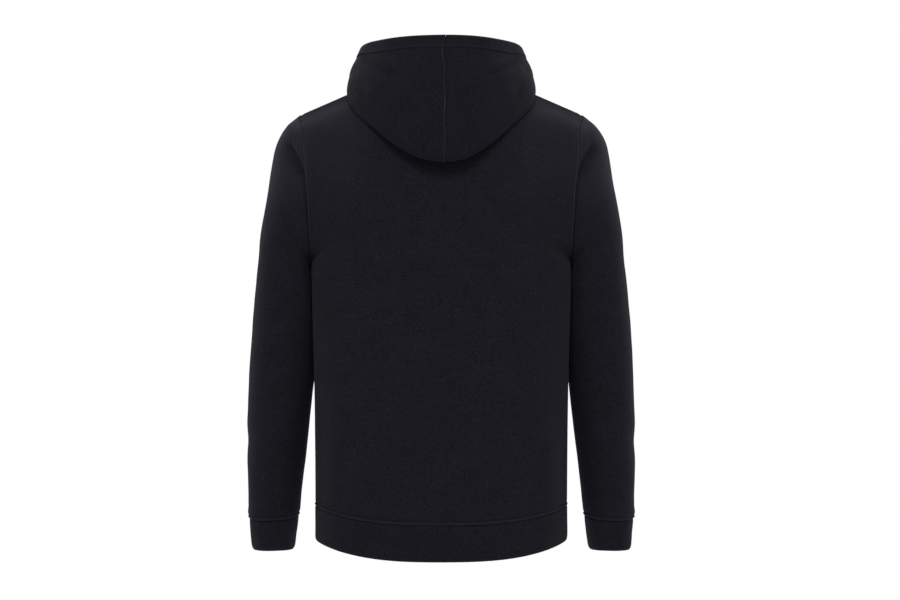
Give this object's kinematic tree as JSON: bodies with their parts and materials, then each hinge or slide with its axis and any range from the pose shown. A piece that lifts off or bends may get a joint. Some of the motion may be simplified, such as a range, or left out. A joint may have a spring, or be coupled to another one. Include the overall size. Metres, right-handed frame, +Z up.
{
  "type": "pullover hoodie",
  "caption": "Plain black fleece pullover with a hood lying back, long cuffed sleeves and a hem band, hollow and filled out as if worn.",
  "frame": {"origin": "middle of the neck base, at the height of the two points where the shoulder seams meet the hood", "axes": "+X towards the wearer's left, +Y towards the wearer's back, +Z up; the front faces -Y"},
  "size_m": [0.5902, 0.2736, 0.7645],
  "materials": {
    "fleece": "matt brushed cotton sweatshirt fleece, blue-black",
    "rib": "matt double cotton knit band, blue-black"
  },
  "bodies": {
    "root": {"back": "fleece", "front": "fleece", "sleeve_left": "fleece", "sleeve_right": "fleece", "cuff_left": "rib", "cuff_right": "rib", "hem_band": "rib", "hood_left": "fleece", "hood_right": "fleece"}
  },
  "joints": []
}
